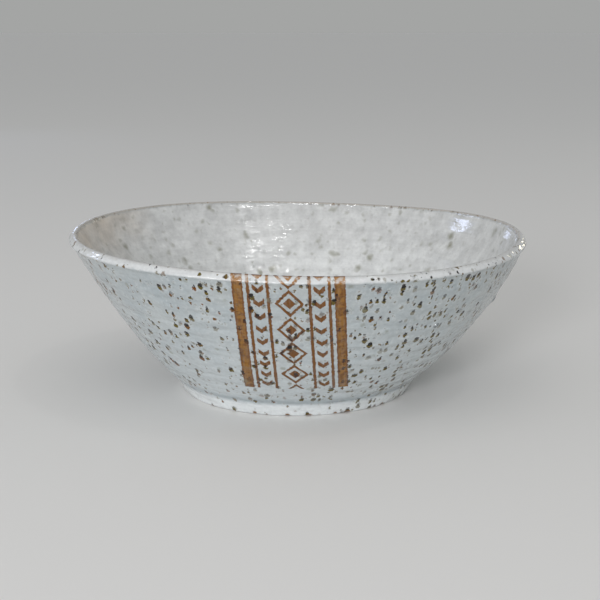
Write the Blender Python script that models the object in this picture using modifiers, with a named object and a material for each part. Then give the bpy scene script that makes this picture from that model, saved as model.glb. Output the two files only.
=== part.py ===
"""A hand-thrown stoneware bowl, fired as one piece. Metres, +Z up.

The origin is on the table under the middle of the rim, and the bowl's decorated front faces -Y.
"""

import math

import bmesh
import bpy
from mathutils import Vector

# Lip: a crown, then a bevel down to the widest edge, cut back under that edge
RIM_RADIUS = 0.0900
RIM_HEIGHT = 0.0631
LIP_CROWN_WIDTH = 0.0013
LIP_BEVEL_HEIGHT = 0.0022
LIP_OVERHANG = 0.0012
LIP_UNDERCUT_HEIGHT = 0.0010
LIP_EDGE_ROUND = 0.0004
LIP_CROWN_ROUND = 0.0008

# Wall: a flared cone with a slight belly, thicker towards the foot
BELLY = 0.0038
BELLY_LOWERED = 0.0009
WALL_AT_LIP = 0.0033
WALL_AT_FOOT = 0.0050

# Foot: a low band that tapers to the table, with a trimmed recess under the floor
FOOT_TOP_RADIUS = 0.0489
FOOT_HEIGHT = 0.0068
FOOT_TAPER = 0.0038
FOOT_EDGE_ROUND = 0.0009
FOOT_RING_WIDTH = 0.0055
RECESS_DEPTH = 0.0025
RECESS_ROUND = 0.0010
FLOOR_THICKNESS = 0.0065
FLOOR_CURVE_HEIGHT = 0.0170

# What the hand left: the rim isn't level, and the foot and the belly aren't under its centre
RIM_DROP_RIGHT = 0.0009
RIM_DROP_FRONT = 0.0007
RIM_SAG = 0.0008
RIM_RIPPLE = 0.0005
RIM_RIPPLE_TURN = math.radians(40)
FOOT_SHIFT = -0.0006
BELLY_SHIFT = 0.0011

# How finely the curves are cut into facets
TURNS_STEPS = 80
OUTER_WALL_STEPS = 12
INNER_WALL_STEPS = 8
FLOOR_CURVE_STEPS = 5
CORNER_STEPS = 2

WELD_DISTANCE = 1e-6
GLAZE_COLOUR = (0.47, 0.49, 0.49, 1.0)
GLAZE_ROUGHNESS = 0.22


def clear_scene():
    for obj in list(bpy.data.objects):
        bpy.data.objects.remove(obj, do_unlink=True)


def mix(start, end, share):
    return start + (end - start) * share


def swell(share):
    """A smooth hump over a run: 0 at both ends and 1 in the middle."""
    return 4 * share * (1 - share)


def outer_wall(share):
    """The wall's outside as (radius, height), from 0 under the lip to 1 where it meets the foot."""
    top = Vector((RIM_RADIUS - LIP_OVERHANG, RIM_HEIGHT - LIP_BEVEL_HEIGHT - LIP_UNDERCUT_HEIGHT))
    foot = Vector((FOOT_TOP_RADIUS, FOOT_HEIGHT))
    point = top.lerp(foot, share)
    point.x += swell(share) * (BELLY - BELLY_LOWERED * (1 - 2 * share))
    return point


def inner_wall(share):
    """The wall's inside: the outside moved in, square to the wall, by its thickness there."""
    nudge = 0.001
    along = (outer_wall(share + nudge) - outer_wall(share - nudge)).normalized()
    inwards = Vector((along.y, -along.x))
    return outer_wall(share) + inwards * mix(WALL_AT_LIP, WALL_AT_FOOT, share)


def share_at_height(height):
    """The share along the wall at which its inside is at this height."""
    high, low = 0.0, 1.0
    for _ in range(40):
        middle = (high + low) / 2
        if inner_wall(middle).y > height:
            high = middle
        else:
            low = middle
    return middle


def curve(start, corner, end, steps):
    """Points on a curve that leaves start towards corner and reaches end coming from it."""
    shares = [step / steps for step in range(steps + 1)]
    return [start.lerp(corner, s).lerp(corner.lerp(end, s), s) for s in shares]


def rounded(before, corner, after, radius):
    """The corner between two straight runs, rounded, and never by more than the runs have room for."""
    back = before - corner
    on = after - corner
    half_angle = back.angle(on) / 2
    cut = min(radius / math.tan(half_angle), 0.45 * back.length, 0.45 * on.length)
    return curve(corner + back.normalized() * cut, corner, corner + on.normalized() * cut, CORNER_STEPS)


def inside_points():
    """From the middle of the floor out and up to the last point below the crown."""
    floor_height = RECESS_DEPTH + FLOOR_THICKNESS
    curve_share = share_at_height(floor_height + FLOOR_CURVE_HEIGHT)
    wall_end = inner_wall(curve_share)
    slope = (wall_end - inner_wall(curve_share - 0.01)).normalized()
    corner = wall_end + slope * (wall_end.y - floor_height) / -slope.y
    floor_end = Vector((corner.x - (wall_end - corner).length, floor_height))
    wall_shares = [curve_share * (1 - step / INNER_WALL_STEPS) for step in range(1, INNER_WALL_STEPS + 1)]
    return (
        [Vector((0, floor_height))]
        + curve(floor_end, corner, wall_end, FLOOR_CURVE_STEPS)
        + [inner_wall(share) for share in wall_shares]
    )


def lip_points():
    """Over the lip: the crown's two corners, then the widest edge."""
    inside_top = inner_wall(0)
    slope = (inside_top - inner_wall(0.01)).normalized()
    crown_inside = inside_top + slope * (RIM_HEIGHT - inside_top.y) / slope.y
    crown_outside = crown_inside + Vector((LIP_CROWN_WIDTH, 0))
    edge = Vector((RIM_RADIUS, RIM_HEIGHT - LIP_BEVEL_HEIGHT))
    return (
        rounded(inside_top, crown_inside, crown_outside, LIP_CROWN_ROUND)
        + rounded(crown_inside, crown_outside, edge, LIP_CROWN_ROUND)
        + rounded(crown_outside, edge, outer_wall(0), LIP_EDGE_ROUND)
    )


def outside_points():
    """Down the outside of the wall to the foot's top."""
    return [outer_wall(step / OUTER_WALL_STEPS) for step in range(OUTER_WALL_STEPS + 1)]


def foot_points():
    """Down the foot band, across the ring that stands on the table, and up into the recess."""
    join = Vector((FOOT_TOP_RADIUS, FOOT_HEIGHT))
    toe = Vector((FOOT_TOP_RADIUS - FOOT_TAPER, 0))
    heel = Vector((toe.x - FOOT_RING_WIDTH, 0))
    recess_corner = Vector((heel.x - RECESS_DEPTH, RECESS_DEPTH))
    middle = Vector((0, RECESS_DEPTH))
    return (
        rounded(join, toe, heel, FOOT_EDGE_ROUND)
        + rounded(toe, heel, recess_corner, FOOT_EDGE_ROUND)
        + rounded(heel, recess_corner, middle, RECESS_ROUND)
        + [middle]
    )


def turned_mesh(points):
    """The profile turned once about the Z axis, with its seam and poles closed."""
    profile = bpy.data.meshes.new("bowl_profile")
    links = [(i, i + 1) for i in range(len(points) - 1)]
    profile.from_pydata([(point.x, 0, point.y) for point in points], links, [])
    guide = bpy.data.objects.new("bowl_profile", profile)
    bpy.context.scene.collection.objects.link(guide)
    screw = guide.modifiers.new("turn on the wheel", "SCREW")
    screw.axis = "Z"
    screw.steps = TURNS_STEPS
    screw.render_steps = TURNS_STEPS
    screw.use_merge_vertices = True
    screw.merge_threshold = WELD_DISTANCE
    graph = bpy.context.evaluated_depsgraph_get()
    mesh = bpy.data.meshes.new_from_object(guide.evaluated_get(graph))
    bpy.data.objects.remove(guide, do_unlink=True)
    work = bmesh.new()
    work.from_mesh(mesh)
    bmesh.ops.remove_doubles(work, verts=work.verts, dist=WELD_DISTANCE)
    work.to_mesh(mesh)
    work.free()
    return mesh


def shape_by_hand(mesh):
    """Moves the turned shape as the hand left it: the foot stays flat on the table, the rim doesn't."""
    edge_height = RIM_HEIGHT - LIP_BEVEL_HEIGHT
    for vertex in mesh.vertices:
        x, y, z = vertex.co
        rise = min(max((z - FOOT_HEIGHT) / (edge_height - FOOT_HEIGHT), 0), 1)
        rim_share = rise * rise * (3 - 2 * rise)
        turn = math.atan2(y, x)
        wave = (
            RIM_SAG * math.cos(2 * turn)
            + RIM_RIPPLE * math.cos(3 * turn - RIM_RIPPLE_TURN)
            - RIM_DROP_RIGHT * math.cos(turn)
            + RIM_DROP_FRONT * math.sin(turn)
        )
        vertex.co.x = x + FOOT_SHIFT * (1 - rim_share) + BELLY_SHIFT * swell(rise)
        vertex.co.z = z + wave * rim_share


def glazed_stoneware():
    material = bpy.data.materials.new("glazed_stoneware")
    material.use_nodes = True
    shader = material.node_tree.nodes["Principled BSDF"]
    shader.inputs["Base Color"].default_value = GLAZE_COLOUR
    shader.inputs["Roughness"].default_value = GLAZE_ROUGHNESS
    shader.inputs["Metallic"].default_value = 0.0
    return material


def bowl(collection):
    mesh = turned_mesh(inside_points() + lip_points() + outside_points() + foot_points())
    mesh.name = "bowl"
    shape_by_hand(mesh)
    mesh.shade_smooth()
    mesh.set_sharp_from_angle(angle=math.radians(35))
    mesh.materials.append(glazed_stoneware())
    collection.objects.link(bpy.data.objects.new("bowl", mesh))


clear_scene()
parts = bpy.data.collections.new("stoneware bowl")
bpy.context.scene.collection.children.link(parts)
bowl(parts)
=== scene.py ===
# %% [markdown]
# # A speckled stoneware bowl
# The object is one hand-thrown bowl, 180 mm across: a flared wall, a bevelled lip and a low turned
# foot, under a glossy pale glaze full of iron specks, with a panel of brown slip down its front.
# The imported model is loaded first. It fixes the bowl's size and place, and nothing here moves it.

# %% Load the fixed frame
import math

import bpy
import numpy as np
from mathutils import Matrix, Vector


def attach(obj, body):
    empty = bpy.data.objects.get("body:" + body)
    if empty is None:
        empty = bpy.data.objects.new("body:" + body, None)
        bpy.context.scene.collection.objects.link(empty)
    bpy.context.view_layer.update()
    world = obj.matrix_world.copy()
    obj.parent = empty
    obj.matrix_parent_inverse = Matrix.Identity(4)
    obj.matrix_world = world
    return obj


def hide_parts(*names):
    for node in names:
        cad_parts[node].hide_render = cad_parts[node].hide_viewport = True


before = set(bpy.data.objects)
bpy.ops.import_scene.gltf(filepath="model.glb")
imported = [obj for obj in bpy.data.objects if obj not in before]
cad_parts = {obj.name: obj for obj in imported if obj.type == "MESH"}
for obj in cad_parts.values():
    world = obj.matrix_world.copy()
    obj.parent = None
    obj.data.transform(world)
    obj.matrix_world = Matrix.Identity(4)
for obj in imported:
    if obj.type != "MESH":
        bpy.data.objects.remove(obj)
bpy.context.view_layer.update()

# %% [markdown]
# ## The view
# The bowl is seen from its front, a little above its rim, from half a metre away, so the near lip
# looks clearly lower than the far one. The camera's place comes from fitting the rim, the foot and
# the outline to their pixels, with no shift and no roll.

# %% Camera
CAMERA_PLACE = Vector((0.00127, -0.4916, 0.1420))
CAMERA_PITCH = math.radians(12.314)
CAMERA_LENS = 74.7

bpy.ops.object.camera_add(location=CAMERA_PLACE, rotation=(math.radians(90) - CAMERA_PITCH, 0, 0))
camera = bpy.context.object
camera.name = "camera"
camera.data.lens = CAMERA_LENS
camera.data.sensor_width = 36
camera.data.dof.use_dof = False
bpy.context.scene.camera = camera

# %% [markdown]
# ## Colours and nodes
# Colours are written as sRGB hex, as a paint chart gives them, and one function turns them into the
# linear values that Blender mixes. One more function adds a node, sets it up and links its inputs,
# so each finish below reads as a list of what it is made of.

# %% Helpers for finishes
def linear(hex_colour):
    """An sRGB hex colour as linear red, green, blue and alpha."""
    parts = [int(hex_colour[i:i + 2], 16) / 255 for i in (1, 3, 5)]
    return (*[p / 12.92 if p <= 0.04045 else ((p + 0.055) / 1.055) ** 2.4 for p in parts], 1.0)


def add(tree, kind, inputs=None, **settings):
    """Adds a node. An input takes a value, a socket, or a node, which stands for its first output."""
    made = tree.nodes.new("ShaderNode" + kind)
    for name, value in settings.items():
        setattr(made, name, value)
    for key, value in (inputs or {}).items():
        if isinstance(value, bpy.types.Node):
            value = value.outputs[0]
        if isinstance(value, bpy.types.NodeSocket):
            tree.links.new(value, made.inputs[key])
        else:
            made.inputs[key].default_value = value
    return made


def new_finish(name):
    """A material whose node tree is left empty, and its tree."""
    material = bpy.data.materials.new(name)
    material.use_nodes = True
    material.node_tree.nodes.clear()
    return material, material.node_tree


def select_only(obj):
    """Nothing else stays selected, so an operator acts on this object alone."""
    bpy.ops.object.select_all(action="DESELECT")
    obj.select_set(True)
    bpy.context.view_layer.objects.active = obj


# %% [markdown]
# ## The bowl's section
# A thrown bowl is the same all round but for what the hand leaves, so it is drawn as half a section
# and turned: a lip with a crown and a bevel, a wall that is nearly a cone with a slight belly, and a
# low foot that tapers to the table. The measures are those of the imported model, but for rounder
# edges and a foot band that ends 1 mm lower, both of which lie nearer to the real bowl.

# %% Measures of the section, in metres
RIM_RADIUS = 0.0900
RIM_HEIGHT = 0.0631
LIP_CROWN_WIDTH = 0.0013
LIP_BEVEL_HEIGHT = 0.0022
LIP_OVERHANG = 0.0012
LIP_UNDERCUT_HEIGHT = 0.0010
LIP_EDGE_ROUND = 0.0008
LIP_CROWN_ROUND = 0.0013
BELLY = 0.0038
BELLY_LOWERED = 0.0009
WALL_AT_LIP = 0.0033
WALL_AT_FOOT = 0.0050
FOOT_TOP_RADIUS = 0.0484
FOOT_HEIGHT = 0.0057
FOOT_TAPER = 0.0033
FOOT_EDGE_ROUND = 0.0011
FOOT_GROOVE_ROUND = 0.0016
FOOT_RING_WIDTH = 0.0055
RECESS_DEPTH = 0.0025
RECESS_ROUND = 0.0012
FLOOR_THICKNESS = 0.0065
FLOOR_CURVE_HEIGHT = 0.0170

# %% [markdown]
# ## From measures to points
# Each stretch of the section is a short list of points: straight runs, rounded corners, and the wall
# with its belly. The inside follows the outside at the wall's thickness, as clay does on the wheel.
# The points lie about a millimetre apart, close enough for throwing rings and chips later.

# %% Functions that lay out the points
OUTER_WALL_STEPS = 60
INNER_WALL_STEPS = 46
CURVE_STEPS = 14
CORNER_STEPS = 4


def mix(start, end, share):
    return start + (end - start) * share


def swell(share):
    """A smooth hump over a run: 0 at both ends and 1 in the middle."""
    return 4 * share * (1 - share)


def outer_wall(share):
    """The wall's outside as (radius, height), from 0 under the lip to 1 where it meets the foot."""
    top = Vector((RIM_RADIUS - LIP_OVERHANG, RIM_HEIGHT - LIP_BEVEL_HEIGHT - LIP_UNDERCUT_HEIGHT))
    point = top.lerp(Vector((FOOT_TOP_RADIUS, FOOT_HEIGHT)), share)
    point.x += swell(share) * (BELLY - BELLY_LOWERED * (1 - 2 * share))
    return point


def inner_wall(share):
    """The wall's inside: the outside moved in, square to the wall, by its thickness there."""
    along = (outer_wall(share + 0.001) - outer_wall(share - 0.001)).normalized()
    return outer_wall(share) + Vector((along.y, -along.x)) * mix(WALL_AT_LIP, WALL_AT_FOOT, share)


def share_at_height(height):
    """The share along the wall at which its inside is at this height, found by halving."""
    high, low = 0.0, 1.0
    for _ in range(40):
        middle = (high + low) / 2
        if inner_wall(middle).y > height:
            high = middle
        else:
            low = middle
    return middle


def line(start, end, steps):
    """Points on a straight run, without its first one."""
    return [start.lerp(end, step / steps) for step in range(1, steps + 1)]


def curve(start, corner, end, steps):
    """Points on a curve that leaves start towards corner and reaches end coming from it."""
    shares = [step / steps for step in range(steps + 1)]
    return [start.lerp(corner, s).lerp(corner.lerp(end, s), s) for s in shares]


def rounded(before, corner, after, radius):
    """The corner between two straight runs, rounded, and never by more than they have room for."""
    back = before - corner
    on = after - corner
    cut = min(radius / math.tan(back.angle(on) / 2), 0.45 * back.length, 0.45 * on.length)
    return curve(corner + back.normalized() * cut, corner, corner + on.normalized() * cut, CORNER_STEPS)


# %% Inside: floor, curve and wall
floor_height = RECESS_DEPTH + FLOOR_THICKNESS
curve_share = share_at_height(floor_height + FLOOR_CURVE_HEIGHT)
curve_top = inner_wall(curve_share)
curve_slope = (curve_top - inner_wall(curve_share - 0.01)).normalized()
curve_corner = curve_top + curve_slope * (curve_top.y - floor_height) / -curve_slope.y
floor_end = Vector((curve_corner.x - (curve_top - curve_corner).length, floor_height))
floor_middle = Vector((0, floor_height))
inside = [floor_middle] + line(floor_middle, floor_end, 14)[:-1]
inside += curve(floor_end, curve_corner, curve_top, CURVE_STEPS)
inside += [inner_wall(curve_share * (1 - step / INNER_WALL_STEPS)) for step in range(1, INNER_WALL_STEPS + 1)]
print("floor is flat to a radius of", round(1000 * floor_end.x, 1), "mm, then curves up into the wall")

# %% Lip: crown, bevel and the cut under its edge
inside_top = inner_wall(0)
lip_slope = (inside_top - inner_wall(0.01)).normalized()
crown_inside = inside_top + lip_slope * (RIM_HEIGHT - inside_top.y) / lip_slope.y
crown_outside = crown_inside + Vector((LIP_CROWN_WIDTH, 0))
lip_edge = Vector((RIM_RADIUS, RIM_HEIGHT - LIP_BEVEL_HEIGHT))
lip = rounded(inside_top, crown_inside, crown_outside, LIP_CROWN_ROUND)
lip += rounded(crown_inside, crown_outside, lip_edge, LIP_CROWN_ROUND)
edge_corner = rounded(crown_outside, lip_edge, outer_wall(0), LIP_EDGE_ROUND)
lip += line(lip[-1], edge_corner[0], 3)[:-1] + edge_corner
print("lip's bevel is", round(1000 * (lip_edge - crown_outside).length, 1), "mm wide")

# %% Outside: wall, foot band, the ring that stands on the table, and the recess
outside = [outer_wall(step / OUTER_WALL_STEPS) for step in range(OUTER_WALL_STEPS)]
join = Vector((FOOT_TOP_RADIUS, FOOT_HEIGHT))
toe = Vector((FOOT_TOP_RADIUS - FOOT_TAPER, 0))
heel = Vector((toe.x - FOOT_RING_WIDTH, 0))
recess_corner = Vector((heel.x - RECESS_DEPTH, RECESS_DEPTH))
recess_middle = Vector((0, RECESS_DEPTH))
groove = rounded(outside[-2], join, toe, FOOT_GROOVE_ROUND)
toe_corner = rounded(join, toe, heel, FOOT_EDGE_ROUND)
heel_corner = rounded(toe, heel, recess_corner, FOOT_EDGE_ROUND)
recess_bend = rounded(heel, recess_corner, recess_middle, RECESS_ROUND)
foot = groove + line(groove[-1], toe_corner[0], 8)[:-1] + toe_corner
foot += line(toe_corner[-1], heel_corner[0], 5)[:-1] + heel_corner + recess_bend
foot += line(recess_bend[-1], recess_middle, 16)
section = inside + lip + outside[:-1] + foot
print("the half section has", len(section), "points")

# %% [markdown]
# ## Turning the bowl
# A plane is merged into a single vertex on the floor's middle, and that vertex is extruded from point
# to point up the inside, over the lip and down the outside. A screw modifier with no rise turns the
# half section once about the Z axis, as the wheel does. Spin would do the same in edit mode, but it
# is slow at this many steps.

# %% Extrude the section and turn it
TURN_STEPS = 448
WELD = 1e-6

bpy.ops.object.select_all(action="DESELECT")
bpy.ops.mesh.primitive_plane_add(size=0.001, location=(0, 0, 0))
bowl = bpy.context.object
bowl.name = "stoneware_bowl"
bowl.data.name = "stoneware_bowl"
bpy.ops.object.mode_set(mode="EDIT")
bpy.ops.mesh.select_mode(type="VERT")
bpy.ops.mesh.select_all(action="SELECT")
bpy.ops.mesh.merge(type="CENTER")
bpy.ops.transform.translate(value=(section[0].x, 0, section[0].y))
for last, point in zip(section, section[1:]):
    step = point - last
    bpy.ops.mesh.extrude_region_move(TRANSFORM_OT_translate={"value": (step.x, 0, step.y)})
bpy.ops.object.mode_set(mode="OBJECT")
bpy.ops.object.transform_apply(location=True, rotation=False, scale=False)
wheel = bowl.modifiers.new("wheel", "SCREW")
wheel.axis = "Z"
wheel.steps = TURN_STEPS
wheel.render_steps = TURN_STEPS
wheel.use_merge_vertices = True
wheel.merge_threshold = WELD
bpy.ops.object.modifier_apply(modifier=wheel.name)
bpy.ops.object.mode_set(mode="EDIT")
bpy.ops.mesh.select_all(action="SELECT")
bpy.ops.mesh.remove_doubles(threshold=WELD)
bpy.ops.mesh.normals_make_consistent(inside=False)
bpy.ops.object.mode_set(mode="OBJECT")
print("turned bowl:", len(bowl.data.vertices), "vertices,", len(bowl.data.polygons), "faces")

# %% [markdown]
# ## How far along the section each point lies
# The glaze differs by place: thin on the lip, pooled above the foot, missing under it. So each vertex
# keeps its distance along the section from the crown of the lip, in millimetres: positive down the
# outside, negative down the inside. The finishes read it as the attribute run_mm.

# %% Measure the run of every vertex
section_xy = np.array([(point.x, point.y) for point in section])
section_run = np.concatenate([[0], np.cumsum(np.hypot(*np.diff(section_xy, axis=0).T))]) * 1000
crown = (crown_inside + crown_outside) / 2
section_run -= section_run[np.argmin(np.hypot(*(section_xy - np.array(crown)).T))]


def places(mesh):
    """All vertex places as rows of x, y and z."""
    flat = np.empty(3 * len(mesh.vertices))
    mesh.vertices.foreach_get("co", flat)
    return flat.reshape(-1, 3)


def directions(mesh):
    """All vertex normals as rows of x, y and z."""
    flat = np.empty(3 * len(mesh.vertices), np.float32)
    mesh.vertex_normals.foreach_get("vector", flat)
    return flat.reshape(-1, 3).astype(float)


def run_at(point):
    """The run at the point of the section that is nearest to this one."""
    return section_run[np.argmin(np.hypot(*(section_xy - np.array(point)).T))]


turned = places(bowl.data)
turned_xy = np.stack([np.hypot(turned[:, 0], turned[:, 1]), turned[:, 2]], 1)
nearest = np.empty(len(turned), int)
for start in range(0, len(turned), 4096):
    part = turned_xy[start:start + 4096, None] - section_xy[None]
    nearest[start:start + 4096] = np.argmin((part ** 2).sum(2), 1)
run = section_run[nearest]
run_attribute = bowl.data.attributes.new("run_mm", "FLOAT", "POINT")
run_attribute.data.foreach_set("value", run.astype(np.float32))

LIP_EDGE_RUN = run_at(lip_edge)
WALL_TOP_RUN = run_at(outer_wall(0))
FOOT_TOP_RUN = run_at(join)
TOE_RUN = run_at(toe)
HEEL_RUN = run_at(heel)
print("runs in mm: lip's edge", round(LIP_EDGE_RUN, 1), "wall", round(WALL_TOP_RUN, 1), "to",
      round(FOOT_TOP_RUN, 1), "toe", round(TOE_RUN, 1), "heel", round(HEEL_RUN, 1))

# %% [markdown]
# ## What the hand left
# The rim isn't level, and the foot sits a little to one side of the rim's centre, as in the packed
# model, and the right side is 0.6 mm fuller than there. The foot stays flat on the table. Then come
# the throwing rings: a finger that climbs while the wheel turns leaves a shallow spiral, so the
# waves follow the run and the angle together. The inside also has a few broad level rings.

# %% Move the turned shape off true
RIM_DROP_RIGHT = 0.0009
RIM_DROP_FRONT = 0.0007
RIM_SAG = 0.0008
RIM_RIPPLE = 0.0005
RIM_RIPPLE_TURN = math.radians(40)
FOOT_SHIFT = -0.0006
BELLY_SHIFT = 0.0011
RIGHT_FULLER = 0.0006


def smooth(values, start, end):
    """0 before start, 1 after end, and a smooth step between them."""
    share = np.clip((values - start) / (end - start), 0, 1)
    return share * share * (3 - 2 * share)


turn = np.arctan2(turned[:, 1], turned[:, 0])
rise = np.clip((turned[:, 2] - FOOT_HEIGHT) / (lip_edge.y - FOOT_HEIGHT), 0, 1)
rim_share = smooth(rise, 0, 1)
wave = RIM_SAG * np.cos(2 * turn) + RIM_RIPPLE * np.cos(3 * turn - RIM_RIPPLE_TURN)
wave += RIM_DROP_FRONT * np.sin(turn) - RIM_DROP_RIGHT * np.cos(turn)
shaped = turned.copy()
shaped[:, 0] += FOOT_SHIFT * (1 - rim_share) + BELLY_SHIFT * swell(rise)
shaped[:, 0] += RIGHT_FULLER * smooth(turned[:, 0], 0, 0.06)
shaped[:, 2] += wave * rim_share
bowl.data.vertices.foreach_set("co", shaped.ravel())
bowl.data.update()
print("the rim rises and falls by", round(1000 * np.ptp(wave), 1), "mm on its way round")

# %% Throwing rings on both sides of the wall
# Depths in metres, pitches in millimetres of run, and shares of the depth
RING_DEPTH = 0.00011
RING_PITCH = 5.6
FINE_RING_PITCH = 3.1
FINE_RING_SHARE = 0.45
INSIDE_RING_SHARE = 0.35
BROAD_RING_DEPTH = 0.00030
BROAD_RING_PITCH = 24.0

front_angle = np.arctan2(turned[:, 0], -turned[:, 1])
below_lip = smooth(run, WALL_TOP_RUN + 1, WALL_TOP_RUN + 7)
above_foot = smooth(-run, -FOOT_TOP_RUN + 2, -FOOT_TOP_RUN + 9)
on_outer_wall = below_lip * above_foot
on_inner_wall = smooth(-run, 3, 10)
spiral = front_angle / math.tau
uneven = 0.55 + 0.45 * np.sin(run / 9.0 + 2 * front_angle) * np.cos(3 * front_angle + run / 14.0)
rings = np.sin(math.tau * (run / RING_PITCH + spiral))
rings += FINE_RING_SHARE * np.sin(math.tau * (run / FINE_RING_PITCH - spiral))
broad_rings = np.cos(math.tau * run / BROAD_RING_PITCH)
depth = RING_DEPTH * rings * uneven * np.maximum(on_outer_wall, INSIDE_RING_SHARE * on_inner_wall)
depth += BROAD_RING_DEPTH * broad_rings * smooth(-run, 0.5, 4)
shaped = places(bowl.data) + directions(bowl.data) * depth[:, None]
bowl.data.vertices.foreach_set("co", shaped.ravel())
bowl.data.update()
print("throwing rings are at most", round(2000 * abs(depth).max(), 2), "mm from crest to hollow")

# %% [markdown]
# ## Soft lumps in the glazed wall
# Fingers and a thick glaze leave broad soft lumps that only show where light grazes the wall. A
# displace modifier with a cloud texture gives them. A vertex group keeps them off the lip and foot,
# and the modifier is applied, so the lumps are part of the mesh.

# %% Displace the walls a little
LUMP_SIZE = 0.011
LUMP_HEIGHT = 0.00050

lumps = bpy.data.textures.new("wall_lumps", "CLOUDS")
lumps.noise_scale = LUMP_SIZE
lumps.noise_depth = 1
walls = bowl.vertex_groups.new(name="walls")
weights = np.round(np.maximum(on_outer_wall, on_inner_wall), 1)
for weight in np.unique(weights[weights > 0]):
    walls.add(np.flatnonzero(weights == weight).tolist(), float(weight), "REPLACE")
select_only(bowl)
displace = bowl.modifiers.new("wall lumps", "DISPLACE")
displace.texture = lumps
displace.texture_coords = "LOCAL"
displace.strength = LUMP_HEIGHT
displace.mid_level = 0.5
displace.vertex_group = walls.name
bpy.ops.object.modifier_apply(modifier=displace.name)
print("lumps moved the wall by up to", round(1000 * np.abs(places(bowl.data) - shaped).max(), 2), "mm")

# %% [markdown]
# ## Blisters and chips
# Gas that left the clay in the kiln raised a few blisters, most of them on the right of the wall.
# The foot's lower edge is chipped where the bowl was lifted off its shelf. Each has a place by its
# angle from the front and its run, and a smooth bump or dent moves the mesh.

# %% Raise the blisters and dent the chips
# Name of the place: angle from the front in degrees, run, radius and height in millimetres
BLISTERS = {
    "right of middle": (38.8, 27.8, 1.8, 0.55),
    "upper right": (45.0, 22.6, 1.5, 0.45),
    "beside the panel": (25.8, 22.0, 1.1, 0.22),
    "low, right of the panel": (24.2, 43.2, 1.5, 0.34),
    "far right": (71.8, 26.5, 2.4, 0.75),
    "far right, lower": (63.0, 40.0, 1.6, 0.25),
    "inside left": (-162.4, -33.2, 1.3, 0.10),
    "back": (-152.0, 30.0, 1.6, 0.30),
    "back left": (-118.0, 44.0, 1.4, 0.26),
}
CHIPS = {
    "left": (-19.3, 78.6, 1.1, -0.30),
    "left, small": (-13.6, 79.0, 0.7, -0.20),
    "middle left": (-3.5, 79.0, 1.0, -0.32),
    "middle": (6.8, 79.2, 1.2, -0.38),
    "middle, small": (11.7, 78.8, 0.8, -0.22),
    "right of middle": (19.3, 78.8, 1.0, -0.32),
    "notch": (25.7, 79.3, 1.2, -0.46),
    "right": (47.0, 79.2, 1.1, -0.40),
    "back": (171.0, 79.0, 1.4, -0.36),
    "left side": (-96.0, 78.6, 1.1, -0.28),
}
# A step that the hand left on the far right, and how deep a chip has to be to show bare clay, in metres
FAR_RIGHT_STEP = (80.0, 31.5, 3.2, 0.80)
BARE_CHIP_DEPTH = 0.00030


def bump(spot):
    """A soft round bump, as a share of its height, at every vertex."""
    angle, spot_run, radius, height = spot
    turn_from_spot = (front_angle - math.radians(angle) + math.pi) % math.tau - math.pi
    across = turn_from_spot * turned_xy[:, 0] * 1000
    distance = np.hypot(across, run - spot_run) / radius
    return np.exp(-distance ** 2) * height / 1000


raised = sum(bump(spot) for spot in [*BLISTERS.values(), FAR_RIGHT_STEP])
dented = sum(bump(spot) for spot in CHIPS.values())
off_the_table = np.where(run > TOE_RUN + 0.8, 0, 1)
moved = places(bowl.data) + directions(bowl.data) * ((raised + dented) * off_the_table)[:, None]
moved[:, 2] = np.maximum(moved[:, 2], 0)
bowl.data.vertices.foreach_set("co", moved.ravel())
bowl.data.update()
chip_attribute = bowl.data.attributes.new("chip", "FLOAT", "POINT")
chip_attribute.data.foreach_set("value", np.clip(-dented / BARE_CHIP_DEPTH, 0, 1).astype(np.float32))
print(len(BLISTERS), "blisters and", len(CHIPS), "chips")

# %% [markdown]
# ## The glaze: where on the bowl it lies
# The finish is a milky, iron-speckled feldspar glaze, dipped and fired on stoneware. It is drawn in
# millimetres: object coordinates times a thousand. The run tells the inside, the lip, the groove
# above the foot and the foot band apart, and a little noise keeps those borders from being straight.

# %% Start the glaze and its coordinates
glaze, tree = new_finish("speckled_feldspar_glaze")

object_place = add(tree, "TexCoord").outputs["Object"]
place_mm = add(tree, "VectorMath", {0: object_place, "Scale": 1000.0}, operation="SCALE")
run_here = add(tree, "Attribute", attribute_name="run_mm").outputs["Fac"]
chip_here = add(tree, "Attribute", attribute_name="chip").outputs["Fac"]
split = add(tree, "SeparateXYZ", {0: place_mm})
flat_place = add(tree, "VectorMath", {0: place_mm, 1: (1.0, 1.0, 0.0)}, operation="MULTIPLY")
radius_here = add(tree, "VectorMath", {0: flat_place}, operation="LENGTH").outputs["Value"]
outward = add(tree, "VectorMath", {0: flat_place}, operation="NORMALIZE")

# Noise that unsettles borders. Its size in millimetres, like those of the patterns below, is a stretch
# of the wall and how many fit into it: 9 in 20 mm
WANDER_SIZE = 20 / 9
wander_noise = add(tree, "TexNoise", {"Vector": place_mm, "Scale": 1 / WANDER_SIZE})
wander = add(tree, "Math", {0: wander_noise.outputs["Fac"], 1: 0.5}, operation="SUBTRACT")
wandering_run = add(tree, "Math", {0: wander, 1: 1.2, 2: run_here}, operation="MULTIPLY_ADD")

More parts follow.
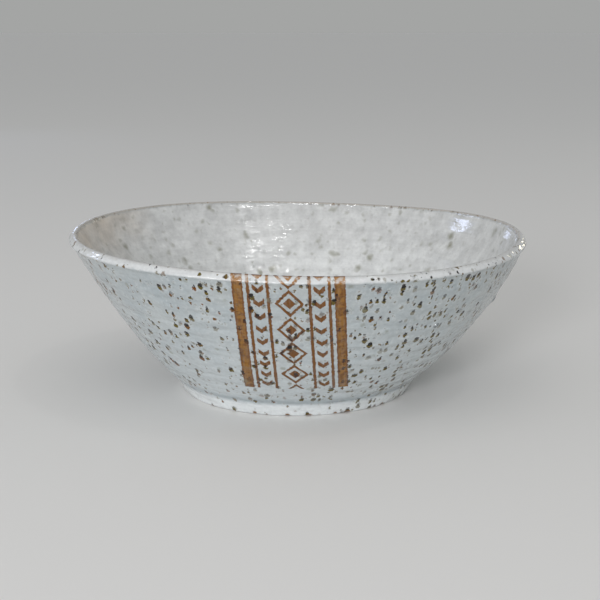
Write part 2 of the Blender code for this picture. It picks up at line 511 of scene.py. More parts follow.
inside_here = add(tree, "MapRange", {0: wandering_run, 1: -0.6, 2: -2.4}, interpolation_type="SMOOTHSTEP")
lip_up = add(tree, "MapRange", {0: wandering_run, 1: -1.6, 2: -0.4}, interpolation_type="SMOOTHSTEP")
lip_down = add(tree, "MapRange", {0: wandering_run, 1: LIP_EDGE_RUN + 0.6, 2: LIP_EDGE_RUN - 0.4})
lip_here = add(tree, "Math", {0: lip_up, 1: lip_down}, operation="MULTIPLY")
foot_here = add(tree, "MapRange", {0: wandering_run, 1: FOOT_TOP_RUN - 0.9, 2: FOOT_TOP_RUN + 2.2},
                interpolation_type="SMOOTHSTEP")
from_groove = add(tree, "Math", {0: wandering_run, 1: FOOT_TOP_RUN - 0.6}, operation="SUBTRACT")
off_groove = add(tree, "Math", {0: from_groove}, operation="ABSOLUTE")
# Painted shade over pooled glaze: a soft darker band along the groove above the foot
groove_pool_and_shade = add(tree, "MapRange", {0: off_groove, 1: 5.0, 2: 0.2, 4: 0.75}, interpolation_type="SMOOTHSTEP")

# %% [markdown]
# ## The glaze: its milky ground
# The ground is a cool grey white that clouds over 5 to 25 mm. It is whiter and warmer where it ran
# thin on the lip, paler on the foot band, and warmer inside. Painted light and shade lie in it too:
# the lower wall is painted lighter, the crown of the lip is painted darker, the groove above the foot
# holds a bluer painted shade where the glaze also pooled, and the inside's left side a painted warm
# shade. Each place mixes its own colour over the ground.

# %% Ground colour
WALL_GLAZE = linear("#b6bcbc")
WALL_GLAZE_DEEP = linear("#a7b0b3")
# Painted light: the lower wall is painted paler, as if more light reached it there
LOW_WALL_PAINTED_LIGHT = linear("#cfd6d8")
INSIDE_GLAZE = linear("#cbccca")
INSIDE_FLOOR_GLAZE = linear("#e0e2e0")
# Painted shade: the inside's left side is painted a warmer, darker grey
INSIDE_PAINTED_WARM_SHADE = linear("#c6b9a8")
LIP_GLAZE = linear("#d2d4d3")
# Painted shade: the crown of the lip is painted darker, as shade on its rounded top
CROWN_PAINTED_SHADE = linear("#bdbdba")
FOOT_GLAZE = linear("#e2e6e6")
# Pooled glaze and painted shade: the groove above the foot is painted a darker blue grey
GROOVE_POOL_AND_SHADE = linear("#9ea9ae")

# %% Clouds, the painted warm shade and the mottle inside
CLOUD_SIZE = 200 / 17
WARM_SHADE_SIZE = 20.0
MOTTLE_SIZE = 100 / 17

clouds = add(tree, "TexNoise", {"Vector": place_mm, "Scale": 1 / CLOUD_SIZE, "Detail": 4.0,
                                "Roughness": 0.62})
cloud_share = add(tree, "MapRange", {0: clouds.outputs["Fac"], 1: 0.34, 2: 0.66})
ground = add(tree, "Mix", {0: cloud_share, 6: WALL_GLAZE, 7: WALL_GLAZE_DEEP}, data_type="RGBA").outputs[2]
# Share of the painted light on the lower wall, growing towards the foot to three quarters
low_wall_painted_light = add(tree, "MapRange", {0: run_here, 1: WALL_TOP_RUN + 8.0, 2: FOOT_TOP_RUN - 6.0, 4: 0.75})
low_inside = add(tree, "MapRange", {0: run_here, 1: -12.0, 2: -48.0})
# Painted warm shade on the inside's left, its border shaken by noise
warm_shade_noise = add(tree, "TexNoise", {"Vector": place_mm, "Scale": 1 / WARM_SHADE_SIZE, "Detail": 3.0})
warm_shade_from = add(tree, "Math", {0: warm_shade_noise.outputs["Fac"], 1: 30.0, 2: split.outputs["X"]},
                 operation="MULTIPLY_ADD")
painted_warm_shade = add(tree, "MapRange", {0: warm_shade_from, 1: -46.0, 2: -80.0}, interpolation_type="SMOOTHSTEP")
inside_ground = add(tree, "Mix", {0: low_inside, 6: INSIDE_GLAZE, 7: INSIDE_FLOOR_GLAZE}, data_type="RGBA")
inside_ground = add(tree, "Mix", {0: painted_warm_shade, 6: inside_ground.outputs[2], 7: INSIDE_PAINTED_WARM_SHADE}, data_type="RGBA")
mottle = add(tree, "TexNoise", {"Vector": place_mm, "Scale": 1 / MOTTLE_SIZE, "Detail": 1.0})
mottle_tone = add(tree, "MapRange", {0: mottle.outputs["Fac"], 1: 0.36, 2: 0.64, 3: 0.91, 4: 1.07})
inside_ground = add(tree, "VectorMath", {0: inside_ground.outputs[2], "Scale": mottle_tone},
                    operation="SCALE")
# Painted shade on the crown, full at the top and gone 2 mm down the bevel
crown_shade_share = add(tree, "MapRange", {0: wandering_run, 1: 2.0, 2: 0.0}, interpolation_type="SMOOTHSTEP")
lip_ground = add(tree, "Mix", {0: crown_shade_share, 6: LIP_GLAZE, 7: CROWN_PAINTED_SHADE}, data_type="RGBA").outputs[2]

# %% Lay the places over the ground, in order
for share, colour in (
    (low_wall_painted_light, LOW_WALL_PAINTED_LIGHT),
    (inside_here, inside_ground),
    (groove_pool_and_shade, GROOVE_POOL_AND_SHADE),
    (foot_here, FOOT_GLAZE),
    (lip_here, lip_ground),
):
    ground = add(tree, "Mix", {0: share, 6: ground, 7: colour}, data_type="RGBA").outputs[2]

# Fine grain, and level lines 20 mm long and 1.1 mm apart, all a few hundredths lighter and darker
GRAIN_SIZE = 10 / 7
LINES_PER_MM = (0.05, 0.05, 0.9)
grain = add(tree, "TexNoise", {"Vector": place_mm, "Scale": 1 / GRAIN_SIZE, "Detail": 3.0, "Roughness": 0.6})
grain_share = add(tree, "MapRange", {0: grain.outputs["Fac"], 1: 0.3, 2: 0.7, 3: 0.93, 4: 1.06})
ring_scale = add(tree, "VectorMath", {0: place_mm, 1: LINES_PER_MM}, operation="MULTIPLY")
ring_noise = add(tree, "TexNoise", {"Vector": ring_scale, "Scale": 1.0})
ring_tone = add(tree, "MapRange", {0: ring_noise.outputs["Fac"], 1: 0.3, 2: 0.7, 3: 0.965, 4: 1.035})
grain_and_rings = add(tree, "Math", {0: grain_share, 1: ring_tone}, operation="MULTIPLY")
ground = add(tree, "VectorMath", {0: ground, "Scale": grain_and_rings}, operation="SCALE").outputs[0]

# %% [markdown]
# ## The panel of brown slip
# Down the front runs a panel 38 mm wide, brushed through a stencil in iron slip: a chain of lozenges,
# fine lines, a column of chevrons and a broad bar on either side. It is plain geometry that potters
# everywhere use. Distances across are measured round the bowl, so its sides look parallel.

# %% Coordinates across and down the panel
PANEL_OFFSET_TOP = -2.9
PANEL_TOP_RUN = -2.3
PANEL_BOTTOM_RUN = 60.5
BRUSH_SIZE = 10 / 11
BRUSH_SHIFT = 0.42

minus_y = add(tree, "Math", {0: split.outputs["Y"], 1: -1.0}, operation="MULTIPLY")
angle_here = add(tree, "Math", {0: split.outputs["X"], 1: minus_y}, operation="ARCTAN2")
round_front = add(tree, "Math", {0: angle_here, 1: radius_here}, operation="MULTIPLY")
panel_offset = add(tree, "MapRange", {0: run_here, 1: 0.0, 2: PANEL_BOTTOM_RUN, 3: PANEL_OFFSET_TOP, 4: 0.0})
centred = add(tree, "Math", {0: round_front, 1: panel_offset}, operation="SUBTRACT")
edge_noise = add(tree, "TexNoise", {"Vector": place_mm, "Scale": 1 / BRUSH_SIZE})
edge_shift = add(tree, "MapRange", {0: edge_noise.outputs["Fac"], 3: -BRUSH_SHIFT, 4: BRUSH_SHIFT})
shaken = add(tree, "Math", {0: centred, 1: edge_shift}, operation="ADD")
across = add(tree, "Math", {0: shaken}, operation="ABSOLUTE")
down = add(tree, "Math", {0: run_here, 1: edge_shift}, operation="ADD")

# %% Motifs of the panel
# Widths and pitches in millimetres, and a lozenge's line and core as shares of its size
LOZENGE_HALF_WIDTH = 5.0
LOZENGE_PITCH = 12.6
LOZENGE_LINE = 0.87
LOZENGE_LINE_HALF = 0.13
LOZENGE_CORE = 0.42
CHEVRON_MIDDLE = 10.3
CHEVRON_HALF_WIDTH = 1.9
CHEVRON_PITCH = 6.3
CHEVRON_BAR = 2.3

# Stripes that run the whole way down: distance from the middle and half width, in millimetres
STRIPES = {"inner line": (7.0, 0.55), "outer line": (13.7, 0.55), "broad bar": (17.3, 1.9)}
motifs = 0.0
for stripe_middle, stripe_half in STRIPES.values():
    stripe = add(tree, "Math", {0: across, 1: stripe_middle, 2: stripe_half}, operation="COMPARE")
    motifs = add(tree, "Math", {0: motifs, 1: stripe}, operation="MAXIMUM")

to_lozenge = add(tree, "Math", {0: down, 1: LOZENGE_PITCH / 2}, operation="PINGPONG")
lozenge_down = add(tree, "Math", {0: to_lozenge, 1: LOZENGE_PITCH / 2}, operation="DIVIDE")
lozenge_across = add(tree, "Math", {0: across, 1: LOZENGE_HALF_WIDTH}, operation="DIVIDE")
lozenge = add(tree, "Math", {0: lozenge_down, 1: lozenge_across}, operation="ADD")
outline = add(tree, "Math", {0: lozenge, 1: LOZENGE_LINE, 2: LOZENGE_LINE_HALF}, operation="COMPARE")
core = add(tree, "Math", {0: lozenge, 1: LOZENGE_CORE}, operation="LESS_THAN")
motifs = add(tree, "Math", {0: motifs, 1: outline}, operation="MAXIMUM")
motifs = add(tree, "Math", {0: motifs, 1: core}, operation="MAXIMUM")

from_chevron = add(tree, "Math", {0: across, 1: CHEVRON_MIDDLE}, operation="SUBTRACT")
chevron_side = add(tree, "Math", {0: from_chevron}, operation="ABSOLUTE")
chevron_down = add(tree, "Math", {0: down, 1: chevron_side}, operation="ADD")
chevron_phase = add(tree, "Math", {0: chevron_down, 1: CHEVRON_PITCH}, operation="MODULO")
chevron_bar = add(tree, "Math", {0: chevron_phase, 1: CHEVRON_BAR}, operation="LESS_THAN")
chevron_column = add(tree, "Math", {0: chevron_side, 1: CHEVRON_HALF_WIDTH}, operation="LESS_THAN")
chevrons = add(tree, "Math", {0: chevron_bar, 1: chevron_column}, operation="MULTIPLY")
motifs = add(tree, "Math", {0: motifs, 1: chevrons}, operation="MAXIMUM")

# %% Where the slip ends, and how it covers
panel_half = (PANEL_BOTTOM_RUN - PANEL_TOP_RUN) / 2
panel_middle = (PANEL_BOTTOM_RUN + PANEL_TOP_RUN) / 2
in_panel = add(tree, "Math", {0: down, 1: panel_middle, 2: panel_half}, operation="COMPARE")
motifs = add(tree, "Math", {0: motifs, 1: in_panel}, operation="MULTIPLY")

# Brush streaks run down the wall, 0.8 mm apart and 7 mm long
STREAKS_PER_MM = (1.3, 0.14, 1.0)
streak_place = add(tree, "CombineXYZ", {0: round_front, 1: run_here})
streak_scale = add(tree, "VectorMath", {0: streak_place, 1: STREAKS_PER_MM}, operation="MULTIPLY")
streaks = add(tree, "TexNoise", {"Vector": streak_scale, "Scale": 1.0, "Detail": 3.0}, noise_dimensions="2D")
cover = add(tree, "MapRange", {0: streaks.outputs["Fac"], 1: 0.3, 2: 0.55, 3: 0.93, 4: 1.0})

# On the bevel the glaze took most of the slip away, in patches
PATCH_SIZE = 4 / 3
patches = add(tree, "TexNoise", {"Vector": place_mm, "Scale": 1 / PATCH_SIZE, "Detail": 3.0,
                                 "Roughness": 0.65})
patchy = add(tree, "MapRange", {0: patches.outputs["Fac"], 1: 0.42, 2: 0.60, 3: 0.40, 4: 1.0})
on_bevel = add(tree, "MapRange", {0: run_here, 1: 0.4, 2: 1.0})
worn = add(tree, "Math", {0: lip_here, 1: on_bevel}, operation="MULTIPLY")
bevel_cover = add(tree, "Mix", {0: worn, 2: 1.0, 3: patchy})
slip_cover = add(tree, "Math", {0: cover, 1: bevel_cover}, operation="MULTIPLY")
slip_here = add(tree, "Math", {0: motifs, 1: slip_cover}, operation="MULTIPLY")

# The slip is deep along its edges and in fine lines, thin in the middle of the bars and on the bevel
SLIP_THIN = linear("#8f6426")
SLIP_DEEP = linear("#683c0c")
SLIP_ON_BEVEL = linear("#9a6a2a")
SLIP_ON_CROWN = linear("#5a2f12")
SLIP_CLOUD_SIZE = 5 / 3
bar_middle, bar_half = STRIPES["broad bar"]
from_bar = add(tree, "Math", {0: across, 1: bar_middle}, operation="SUBTRACT")
off_bar = add(tree, "Math", {0: from_bar}, operation="ABSOLUTE")
bar_core = add(tree, "MapRange", {0: off_bar, 1: bar_half - 0.35, 2: bar_half - 0.9})
slip_clouds = add(tree, "TexNoise", {"Vector": place_mm, "Scale": 1 / SLIP_CLOUD_SIZE, "Detail": 4.0,
                                     "Roughness": 0.65})
slip_share = add(tree, "MapRange", {0: slip_clouds.outputs["Fac"], 1: 0.62, 2: 0.42})
thin_here = add(tree, "Math", {0: bar_core, 1: slip_share, 2: 0.18}, operation="MULTIPLY_ADD", use_clamp=True)
slip_colour = add(tree, "Mix", {0: thin_here, 6: SLIP_DEEP, 7: SLIP_THIN}, data_type="RGBA").outputs[2]
slip_colour = add(tree, "Mix", {0: worn, 6: slip_colour, 7: SLIP_ON_BEVEL}, data_type="RGBA").outputs[2]
on_crown = add(tree, "MapRange", {0: run_here, 1: 0.6, 2: 0.1})
slip_colour = add(tree, "Mix", {0: on_crown, 6: slip_colour, 7: SLIP_ON_CROWN}, data_type="RGBA").outputs[2]
coloured = add(tree, "Mix", {0: slip_here, 6: ground, 7: slip_colour}, data_type="RGBA").outputs[2]

# %% [markdown]
# ## Iron specks
# Specks of iron in the clay melt up through the glaze: a nearly black core 1 to 1.5 mm across, and a
# rust or olive tail that runs down the wall. Each is a cell of a 3-D Voronoi pattern, so the surface
# cuts some through the middle and only grazes others, which varies their size as in the kiln.

# %% Where specks gather, and what they sit in
SPECK_SQUEEZE = (1.0, 1.0, 0.85)
SPECK_NOISE_SIZE = 10 / 13
SPECK_WANDER = (1.7, 1.7, 1.7)
NOISE_MIDDLE = (0.5, 0.5, 0.5)

speck_noise = add(tree, "TexNoise", {"Vector": place_mm, "Scale": 1 / SPECK_NOISE_SIZE, "Detail": 3.0,
                                     "Roughness": 0.6})
speck_shift = add(tree, "VectorMath", {0: speck_noise.outputs["Color"], 1: NOISE_MIDDLE},
                  operation="SUBTRACT")
shaken_place = add(tree, "VectorMath", {0: speck_shift, 1: SPECK_WANDER, 2: place_mm},
                   operation="MULTIPLY_ADD")
squeezed = add(tree, "VectorMath", {0: shaken_place, 1: SPECK_SQUEEZE}, operation="MULTIPLY")

# The way up the wall's slope, 0.6 outwards for 0.8 up
up_slope = add(tree, "VectorMath", {0: outward, 1: (0.6, 0.6, 0.0), 2: (0.0, 0.0, 0.8)},
               operation="MULTIPLY_ADD")

# Wide patches hold slightly larger ones, and those on the lip and the foot are small
GATHER_SIZE = 50 / 3
gather = add(tree, "TexNoise", {"Vector": place_mm, "Scale": 1 / GATHER_SIZE})
gathered = add(tree, "MapRange", {0: gather.outputs["Fac"], 1: 0.35, 2: 0.65, 3: 0.90, 4: 1.10})
on_lip = add(tree, "MapRange", {0: lip_here, 3: 1.0, 4: 0.78})
on_foot = add(tree, "MapRange", {0: foot_here, 3: 1.0, 4: 0.95})
speck_room = add(tree, "Math", {0: gathered, 1: on_lip}, operation="MULTIPLY")
speck_room = add(tree, "Math", {0: speck_room, 1: on_foot}, operation="MULTIPLY")

# More of them lie on the right, and fewer of those are rusty
bare_share = add(tree, "MapRange", {0: split.outputs["X"], 1: -10.0, 2: 35.0, 3: 0.36, 4: 0.25})
rust_from = add(tree, "MapRange", {0: split.outputs["X"], 1: -30.0, 2: 30.0, 3: 0.50, 4: 0.75})

# They show fully outside, hardly at all under the thick glaze inside, and blur towards the foot
outside_share = add(tree, "MapRange", {0: inside_here, 3: 1.0, 4: 0.06})
sharp_share = add(tree, "MapRange", {0: low_wall_painted_light, 1: 0.3, 2: 0.75, 3: 1.0, 4: 0.6})
core_share = add(tree, "Math", {0: outside_share, 1: sharp_share}, operation="MULTIPLY")

# %% Two sizes of specks, each a dark core with a tail
SPECK_CORE = linear("#0e0704")
SPECK_RUST = linear("#6e3e0a")
SPECK_OLIVE = linear("#5e5118")
SPECK_ON_SLIP = linear("#43200a")
SPECK_RING = linear("#d6dada")

# Name of the size: cell in millimetres, how many cells stay bare, largest core and tail in cells,
# skew to small ones, tail in millimetres
SPECK_SIZES = {
    "small": (1.7, 2.5, 0.36, 0.50, 0.9, 0.5),
    "large": (2.15, 1.0, 0.46, 0.65, 1.25, 0.95),
}
no_slip = add(tree, "Math", {0: 1.0, 1: slip_here}, operation="SUBTRACT")
pocks = 0.0
for cell, bareness, largest_core, largest_tail, skew, tail_length in SPECK_SIZES.values():
    edges = []
    bare = add(tree, "Math", {0: bare_share, 1: bareness}, operation="MULTIPLY")
    tail_place = add(tree, "VectorMath", {0: up_slope, 1: (tail_length,) * 3, 2: shaken_place},
                     operation="MULTIPLY_ADD")
    tail_squeezed = add(tree, "VectorMath", {0: tail_place, 1: SPECK_SQUEEZE}, operation="MULTIPLY")
    for vector, largest in ((squeezed, largest_core), (tail_squeezed, largest_tail)):
        cells = add(tree, "TexVoronoi", {"Vector": vector, "Scale": 1 / cell})
        random = add(tree, "SeparateColor", {0: cells.outputs["Color"]})
        share = add(tree, "MapRange", {0: random.outputs[0], 1: bare, 2: 1.0})
        skewed = add(tree, "Math", {0: share, 1: skew}, operation="POWER")
        reach = add(tree, "Math", {0: speck_room, 1: largest}, operation="MULTIPLY")
        size = add(tree, "Math", {0: skewed, 1: reach}, operation="MULTIPLY")
        edge = add(tree, "Math", {0: size, 1: cells.outputs["Distance"]}, operation="SUBTRACT")
        edges.append((edge, random))
    (core_edge, core_random), (tail_edge, tail_random) = edges

    ring = add(tree, "MapRange", {0: tail_edge, 1: -0.25, 2: -0.02, 4: 0.28}, interpolation_type="SMOOTHSTEP")
    ring_wall = add(tree, "Math", {0: ring, 1: outside_share}, operation="MULTIPLY")
    ring_cover = add(tree, "Math", {0: ring_wall, 1: no_slip}, operation="MULTIPLY")
    coloured = add(tree, "Mix", {0: ring_cover, 6: coloured, 7: SPECK_RING}, data_type="RGBA").outputs[2]

    rusty = add(tree, "MapRange", {0: tail_random.outputs[1], 1: rust_from, 2: 1.0})
    tail_colour = add(tree, "Mix", {0: rusty, 6: SPECK_OLIVE, 7: SPECK_RUST}, data_type="RGBA").outputs[2]
    tail_colour = add(tree, "Mix", {0: slip_here, 6: tail_colour, 7: SPECK_ON_SLIP}, data_type="RGBA")
    tail_here = add(tree, "MapRange", {0: tail_edge, 1: 0.0, 2: 0.16}, interpolation_type="SMOOTHSTEP")
    tail_opacity = add(tree, "MapRange", {0: tail_random.outputs[2], 1: 0.1, 2: 0.55, 3: 0.45, 4: 1.0})
    tail_cover = add(tree, "Math", {0: tail_here, 1: tail_opacity}, operation="MULTIPLY")
    tail_cover = add(tree, "Math", {0: tail_cover, 1: outside_share}, operation="MULTIPLY")
    coloured = add(tree, "Mix", {0: tail_cover, 6: coloured, 7: tail_colour.outputs[2]}, data_type="RGBA")
    coloured = coloured.outputs[2]

    core_here = add(tree, "MapRange", {0: core_edge, 1: 0.0, 2: 0.08}, interpolation_type="SMOOTHSTEP")
    core_opacity = add(tree, "MapRange", {0: core_random.outputs[2], 1: 0.10, 2: 0.50, 3: 0.40, 4: 0.98})
    core_cover = add(tree, "Math", {0: core_here, 1: core_opacity}, operation="MULTIPLY")
    core_cover = add(tree, "Math", {0: core_cover, 1: core_share}, operation="MULTIPLY")
    coloured = add(tree, "Mix", {0: core_cover, 6: coloured, 7: SPECK_CORE}, data_type="RGBA").outputs[2]
    pocks = add(tree, "Math", {0: pocks, 1: core_here}, operation="MAXIMUM")

# %% [markdown]
# ## Faint specks
# Between the strong specks lie faint olive ones that stay deep in the glaze. On the inside the glaze
# is thicker, so the specks there are broad soft clouds, 3 to 4 mm across.

# %% Deep specks outside, and soft ones inside
DEEP_OLIVE = linear("#868875")
SOFT_OLIVE = linear("#858472")
SOFT_NOISE_SIZE = 10 / 3
SOFT_WANDER = (3.0, 3.0, 3.0)

soft_noise = add(tree, "TexNoise", {"Vector": place_mm, "Scale": 1 / SOFT_NOISE_SIZE, "Detail": 1.0})
soft_shift = add(tree, "VectorMath", {0: soft_noise.outputs["Color"], 1: NOISE_MIDDLE},
                 operation="SUBTRACT")
soft_place = add(tree, "VectorMath", {0: soft_shift, 1: SOFT_WANDER, 2: place_mm},
                 operation="MULTIPLY_ADD")
# Name of the speck: cell in millimetres, reach and soft edge in cells, cover, colour, where it
# shows, and the place that it is drawn by
FAINT_SPECKS = {
    "deep": (4.6, 0.32, 0.18, 0.48, DEEP_OLIVE, outside_share, shaken_place),
    "soft": (5.6, 0.56, 0.50, 0.85, SOFT_OLIVE, inside_here, soft_place),
    "small soft": (3.9, 0.48, 0.42, 0.55, SOFT_OLIVE, inside_here, soft_place),
}
for cell, reach, soft, cover_share, colour, where, drawn_at in FAINT_SPECKS.values():
    cells = add(tree, "TexVoronoi", {"Vector": drawn_at, "Scale": 1 / cell})
    cell_random = add(tree, "SeparateColor", {0: cells.outputs["Color"]})
    cell_size = add(tree, "MapRange", {0: cell_random.outputs[0], 1: 0.2, 2: 1.0, 3: 0.0, 4: reach})
    cell_edge = add(tree, "Math", {0: cell_size, 1: cells.outputs["Distance"]}, operation="SUBTRACT")
    cell_here = add(tree, "MapRange", {0: cell_edge, 1: 0.0, 2: soft, 4: cover_share},
                    interpolation_type="SMOOTHSTEP")
    cell_cover = add(tree, "Math", {0: cell_here, 1: where}, operation="MULTIPLY")
    coloured = add(tree, "Mix", {0: cell_cover, 6: coloured, 7: colour}, data_type="RGBA").outputs[2]

# %% [markdown]
# ## Thin edges
# Glaze draws back from sharp edges, and the toasted clay shows through: a broken brown line along
# the lip's inner corner, and rust in the chips of the foot. Along the same corner lies a soft
# grey-beige line, partly thin glaze and partly painted shade.

# %% Brown line and painted shade on the lip, and rust in the chips
# Thin glaze and painted shade: a soft grey-beige line along the lip's inner corner
THIN_GLAZE_AND_SHADE = linear("#a89c8c")
BARE_EDGE = linear("#6b4520")
CHIP_CLAY = linear("#8c6a4a")

line_wander = add(tree, "Math", {0: wander, 1: 0.9, 2: run_here}, operation="MULTIPLY_ADD")
from_line = add(tree, "Math", {0: line_wander, 1: -0.9}, operation="SUBTRACT")
off_line = add(tree, "Math", {0: from_line}, operation="ABSOLUTE")
# Painted shade with thin glaze, strongest right on the corner
thin_and_shaded_line = add(tree, "MapRange", {0: off_line, 1: 1.0, 2: 0.10, 4: 0.55}, interpolation_type="SMOOTHSTEP")
coloured = add(tree, "Mix", {0: thin_and_shaded_line, 6: coloured, 7: THIN_GLAZE_AND_SHADE}, data_type="RGBA").outputs[2]

# Bare clay shows in short dashes, and most of all where the slip drew back from the edge
DASH_SIZE = 5.0
bare_line = add(tree, "MapRange", {0: off_line, 1: 0.34, 2: 0.18})
broken = add(tree, "TexNoise", {"Vector": place_mm, "Scale": 1 / DASH_SIZE, "Detail": 4.0, "Roughness": 0.6})
broken_shift = add(tree, "Math", {0: slip_here, 1: 0.16, 2: broken.outputs["Fac"]}, operation="MULTIPLY_ADD")
broken_share = add(tree, "MapRange", {0: broken_shift, 1: 0.61, 2: 0.67, 4: 0.9})
line_cover = add(tree, "Math", {0: bare_line, 1: broken_share}, operation="MULTIPLY")
coloured = add(tree, "Mix", {0: line_cover, 6: coloured, 7: BARE_EDGE}, data_type="RGBA").outputs[2]

chip_noise = add(tree, "Math", {0: wander, 1: 0.9, 2: chip_here}, operation="MULTIPLY_ADD")
chip_cover = add(tree, "MapRange", {0: chip_noise, 1: 0.45, 2: 0.75})
coloured = add(tree, "Mix", {0: chip_cover, 6: coloured, 7: CHIP_CLAY}, data_type="RGBA").outputs[2]

# %% [markdown]
# ## The glaze's skin
# A fired glaze is glass: it reflects like a window, and its skin ripples like orange peel, 2 mm
# apart and a few hundredths of a millimetre deep, over broader and softer swells. Small pocks lie
# over the specks, and tiny blisters between them. The heights are added in millimetres, and one bump
# node turns them into shading.

# %% Relief of the skin, in millimetres
MILLIMETRE = 0.001
PEEL_SIZE = 2.0
SWELLS_PER_MM = (0.10, 0.10, 0.26)
POCK_DEPTH = 0.035

peel = add(tree, "TexNoise", {"Vector": place_mm, "Scale": 1 / PEEL_SIZE})
swell_place = add(tree, "VectorMath", {0: place_mm, 1: SWELLS_PER_MM}, operation="MULTIPLY")
swells = add(tree, "TexNoise", {"Vector": swell_place, "Scale": 1.0})
peel_height = add(tree, "MapRange", {0: inside_here, 3: 0.12, 4: 0.04})
swell_height = add(tree, "MapRange", {0: inside_here, 3: 1.0, 4: 0.35})
height = add(tree, "Math", {0: peel.outputs["Fac"], 1: peel_height}, operation="MULTIPLY")
height = add(tree, "Math", {0: swells.outputs["Fac"], 1: swell_height, 2: height}, operation="MULTIPLY_ADD")
height = add(tree, "Math", {0: pocks, 1: -POCK_DEPTH, 2: height}, operation="MULTIPLY_ADD")

# Small blisters, more of them on the right
BLISTER_CELL = 6.5
small_blisters = add(tree, "TexVoronoi", {"Vector": shaken_place, "Scale": 1 / BLISTER_CELL})
blister_top = add(tree, "MapRange", {0: small_blisters.outputs["Distance"], 1: 0.14, 2: 0.02},
                  interpolation_type="SMOOTHSTEP")
blister_height = add(tree, "MapRange", {0: split.outputs["X"], 1: -20.0, 2: 40.0, 3: 0.10, 4: 0.55})
blister_height = add(tree, "Math", {0: blister_height, 1: outside_share}, operation="MULTIPLY")
height = add(tree, "Math", {0: blister_top, 1: blister_height, 2: height}, operation="MULTIPLY_ADD")

# The blisters that the mesh has get steeper tops: where a top starts and where it is full, as shares
# of the blister's radius, and its height as a multiple of the blister's
TOP_FROM = 0.70
TOP_FULL = 0.1
TOP_HEIGHT = 3.6

skin_places = places(bowl.data) * 1000
for spot_angle, spot_run, spot_radius, spot_height in BLISTERS.values():
    off_spot = np.hypot((front_angle - math.radians(spot_angle)) * 1000 * turned_xy[:, 0], run - spot_run)
    centre = tuple(skin_places[np.argmin(off_spot)])
    off_centre = add(tree, "VectorMath", {0: place_mm, 1: centre}, operation="DISTANCE")
    top_from, top_full = TOP_FROM * spot_radius, TOP_FULL * spot_radius
    top = add(tree, "MapRange", {0: off_centre.outputs["Value"], 1: top_from, 2: top_full})
    height = add(tree, "Math", {0: top, 1: TOP_HEIGHT * spot_height, 2: height}, operation="MULTIPLY_ADD")
skin = add(tree, "Bump", {"Height": height, "Distance": MILLIMETRE, "Strength": 1.0})

# %% Shader of the glaze
gloss_noise = add(tree, "MapRange", {0: clouds.outputs["Fac"], 1: 0.3, 2: 0.7, 3: 0.13, 4: 0.22})
glaze_shader = add(tree, "BsdfPrincipled", {
    "Base Color": coloured,
    "Roughness": gloss_noise,
    "IOR": 1.5,
    "Specular IOR Level": 0.42,
    "Coat Weight": 0.15,
    "Coat Roughness": 0.06,
    "Coat IOR": 1.5,
    "Normal": skin,
    "Coat Normal": skin,
})
add(tree, "OutputMaterial", {"Surface": glaze_shader})
print("glaze has", len(tree.nodes), "nodes")

# %% [markdown]
# ## Bare clay under the foot
# Glaze would fuse the bowl to the kiln shelf, so the ring that it stands on was wiped clean. It shows
# the clay: a buff stoneware, toasted to orange brown next to the glaze, matt and gritty, with the
# fine circles that the turning tool left.

# %% Bare stoneware
clay, clay_tree = new_finish("bare_toasted_stoneware")
CLAY_BUFF = linear("#b79c7c")
CLAY_TOASTED = linear("#94683f")
CLAY_GRIT = linear("#4a3526")
TOAST_SIZE = 20 / 7
GRIT_CELL = 1.25
SAND_SIZE = 1 / 3

clay_place = add(clay_tree, "TexCoord").outputs["Object"]
clay_mm = add(clay_tree, "VectorMath", {0: clay_place, "Scale": 1000.0}, operation="SCALE")
clay_run = add(clay_tree, "Attribute", attribute_name="run_mm").outputs["Fac"]
clay_noise = add(clay_tree, "TexNoise", {"Vector": clay_mm, "Scale": 1 / TOAST_SIZE, "Detail": 4.0})
ring_middle = (TOE_RUN + HEEL_RUN) / 2
from_middle = add(clay_tree, "Math", {0: clay_run, 1: ring_middle}, operation="SUBTRACT")
to_edge = add(clay_tree, "Math", {0: from_middle}, operation="ABSOLUTE")
toasted_noise = add(clay_tree, "Math", {0: clay_noise.outputs["Fac"], 1: 3.0, 2: to_edge},
                    operation="MULTIPLY_ADD")
toasted = add(clay_tree, "MapRange", {0: toasted_noise, 1: 2.2, 2: 4.4})
clay_colour = add(clay_tree, "Mix", {0: toasted, 6: CLAY_BUFF, 7: CLAY_TOASTED}, data_type="RGBA").outputs[2]
grit = add(clay_tree, "TexVoronoi", {"Vector": clay_mm, "Scale": 1 / GRIT_CELL})
grit_here = add(clay_tree, "MapRange", {0: grit.outputs["Distance"], 1: 0.22, 2: 0.12, 4: 0.7})
clay_colour = add(clay_tree, "Mix", {0: grit_here, 6: clay_colour, 7: CLAY_GRIT}, data_type="RGBA").outputs[2]
tool_wave = add(clay_tree, "Math", {0: clay_run, 1: 9.0}, operation="MULTIPLY")
tool_marks = add(clay_tree, "Math", {0: tool_wave}, operation="SINE")
sand = add(clay_tree, "TexNoise", {"Vector": clay_mm, "Scale": 1 / SAND_SIZE, "Detail": 3.0})
clay_height = add(clay_tree, "Math", {0: tool_marks, 1: 0.012}, operation="MULTIPLY")
clay_height = add(clay_tree, "Math", {0: sand.outputs["Fac"], 1: 0.10, 2: clay_height},
                  operation="MULTIPLY_ADD")
clay_skin = add(clay_tree, "Bump", {"Height": clay_height, "Distance": MILLIMETRE, "Strength": 1.0})
clay_shader = add(clay_tree, "BsdfPrincipled", {
    "Base Color": clay_colour,
    "Roughness": 0.85,
    "Normal": clay_skin,
})
add(clay_tree, "OutputMaterial", {"Surface": clay_shader})
print("bare clay has", len(clay_tree.nodes), "nodes")

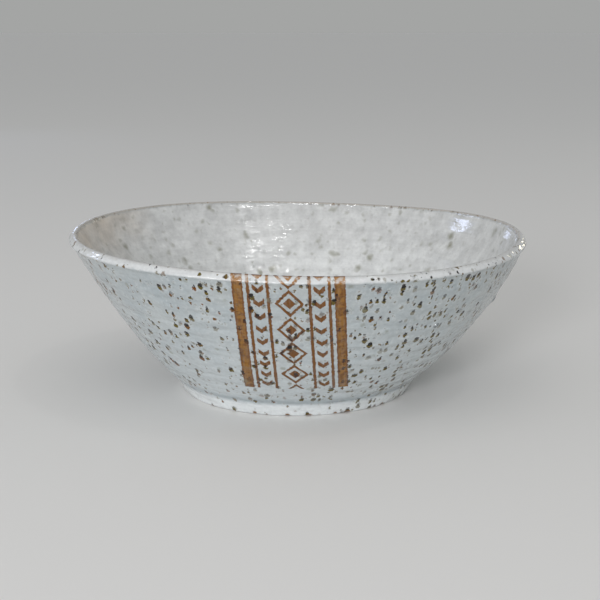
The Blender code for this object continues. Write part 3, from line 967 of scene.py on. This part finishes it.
# %% Give each face its finish
bowl.data.materials.append(glaze)
bowl.data.materials.append(clay)
corner_vertex = np.empty(len(bowl.data.loops), int)
bowl.data.loops.foreach_get("vertex_index", corner_vertex)
face_start = np.empty(len(bowl.data.polygons), int)
bowl.data.polygons.foreach_get("loop_start", face_start)
face_total = np.empty(len(bowl.data.polygons), int)
bowl.data.polygons.foreach_get("loop_total", face_total)
face_run = np.add.reduceat(run[corner_vertex], face_start) / face_total
bare = (face_run > TOE_RUN + 0.5) & (face_run < HEEL_RUN - 0.1)
bowl.data.polygons.foreach_set("material_index", bare.astype(np.int32))
select_only(bowl)
bpy.ops.object.shade_smooth()
print(int(bare.sum()), "faces of bare clay on the ring under the foot")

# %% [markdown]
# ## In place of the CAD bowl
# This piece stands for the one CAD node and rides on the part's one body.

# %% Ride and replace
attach(bowl, "root")
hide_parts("bowl")

# %% [markdown]
# ## Table and light
# The bowl stands on a plain pale table in soft studio light. A soft light from the front left gives
# the wall its even tone, a wide one overhead whitens the lip and the inside, and a pale surround
# fills the shade. Small lights far away show only as reflections: a bluish window on the inside
# right, a warm lamp on the right tip of the rim, a strip along the lip's lower edge, and lamps on
# the ceiling that glint inside. Past the table the camera sees the surround in the table's own far
# tone, so that no horizon line shows.

# %% Pale floor
floor, floor_tree = new_finish("pale_studio_table")
floor_shader = add(floor_tree, "BsdfPrincipled", {"Base Color": linear("#e4e3e0"), "Roughness": 0.9})
add(floor_tree, "OutputMaterial", {"Surface": floor_shader})
bpy.ops.object.select_all(action="DESELECT")
bpy.ops.mesh.primitive_circle_add(vertices=128, radius=40.0, fill_type="NGON", location=(0, 0, 0))
table = bpy.context.object
table.name = "studio_floor"
table.data.materials.append(floor)

# %% Lights
# Name of the light: where it stands, where it points, its width and height in metres, its power
# and its colour
LIGHTS = {
    "front_left_softbox": ((-0.42, -1.45, 0.45), (0.0, 0.0, 0.03), (0.34, 0.34), 11.2, "#fafaff"),
    "overhead_softbox": ((0.0, -0.60, 1.35), (0.0, 0.0, 0.02), (1.50, 1.50), 2.1, "#fff8f0"),
    "left_softbox": ((-1.25, -0.40, 0.55), (0.0, 0.0, 0.05), (0.50, 0.50), 0.3, "#f4f7ff"),
    "small_lamp": ((0.45, -0.42, 1.25), (0.0, 0.0, 0.05), (0.05, 0.05), 0.45, "#ffffff"),
}
# These are weak and far away, so that only their reflections in the glaze count
REFLECTED_LIGHTS = {
    "left_window": ((-1.07, 0.50, 0.49), (0.0, 0.0, 0.05), (0.20, 0.20), 1.2, "#cfdcff"),
    "back_window": ((-0.43, 1.33, 0.18), (0.0, 0.0, 0.05), (0.14, 0.14), 0.18, "#cfdcff"),
    "back_right_lamp": ((0.73, 1.20, 0.20), (0.0, 0.0, 0.05), (0.10, 0.10), 0.3, "#fff6dc"),
    "front_strip": ((-0.50, -1.20, 0.68), (0.0, 0.0, 0.06), (1.80, 0.13), 20.0, "#ffffff"),
    "ceiling_lamp_left": ((0.32, -0.70, 1.34), (0.0, 0.0, 0.05), (0.06, 0.06), 0.6, "#ffffff"),
    "ceiling_lamp_right": ((0.62, -0.63, 1.25), (0.0, 0.0, 0.05), (0.06, 0.06), 0.6, "#ffffff"),
}
for light_name, (light_place, target, light_size, power, colour) in {**LIGHTS, **REFLECTED_LIGHTS}.items():
    aim = (Vector(target) - Vector(light_place)).to_track_quat("-Z", "Y").to_euler()
    bpy.ops.object.light_add(type="AREA", location=light_place, rotation=aim)
    light = bpy.context.object
    light.name = light_name
    light.data.shape = "ELLIPSE"
    light.data.size, light.data.size_y = light_size
    light.data.energy = power
    light.data.color = linear(colour)[:3]
    light.visible_camera = False
    light.visible_diffuse = light_name in LIGHTS
print(len(LIGHTS), "lights and", len(REFLECTED_LIGHTS), "seen only in the glaze")

# %% Surround
world = bpy.data.worlds.new("pale_surround")
bpy.context.scene.world = world
world.use_nodes = True
world.node_tree.nodes.clear()
surround = add(world.node_tree, "Background", {"Color": linear("#dfe1e3"), "Strength": 0.63})
far_tone = add(world.node_tree, "Background", {"Color": linear("#a4a5a4")})
seen_directly = add(world.node_tree, "LightPath").outputs["Is Camera Ray"]
backdrop = add(world.node_tree, "MixShader", {0: seen_directly, 1: surround, 2: far_tone})
add(world.node_tree, "OutputWorld", {"Surface": backdrop})
bpy.context.scene.view_settings.view_transform = "Standard"
